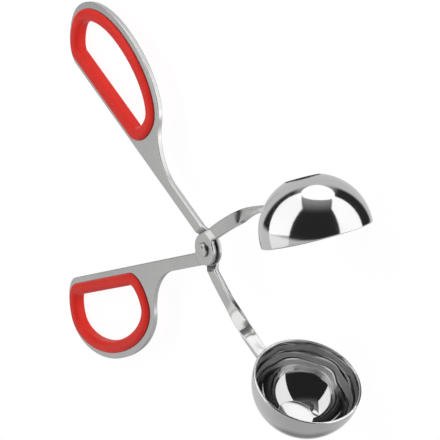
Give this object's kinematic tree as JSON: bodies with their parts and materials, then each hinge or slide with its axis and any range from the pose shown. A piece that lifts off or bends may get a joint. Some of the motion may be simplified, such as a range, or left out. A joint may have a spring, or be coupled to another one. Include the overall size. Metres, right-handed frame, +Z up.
{
  "type": "meatball tongs",
  "caption": "Scissor-action meatball tongs: crossed steel arms on a rivet, finger loops lined with soft red grips, and half-round bowls that close into a ball.",
  "frame": {"origin": "on the table under the middle of the tongs' box, as they lie at rest on both bowls and both handle ends", "axes": "+X from the handles toward the bowls, +Y toward the side of the upper bowl and the upper grip, +Z up from the table"},
  "size_m": [0.2056, 0.1712, 0.0442],
  "materials": {
    "arm_steel": "satin stamped stainless steel with tumbled edges",
    "bowl_steel": "mirror polished stainless steel",
    "grip": "smooth satin red moulding",
    "rivet_steel": "bright headed steel"
  },
  "bodies": {
    "front": {"front_arm": "arm_steel", "upper_bowl": "bowl_steel", "lower_grip": "grip", "pivot_rivet": "rivet_steel"},
    "rear": {"rear_arm": "arm_steel", "lower_bowl": "bowl_steel", "upper_grip": "grip"}
  },
  "joints": [
    {"name": "pivot", "type": "hinge", "parent": "front", "child": "rear", "pos_m": [0.01174, 0, 0.01476], "axis": [-0.1039, 0, 0.9946], "range_deg": [-10.8, 46.5]}
  ]
}
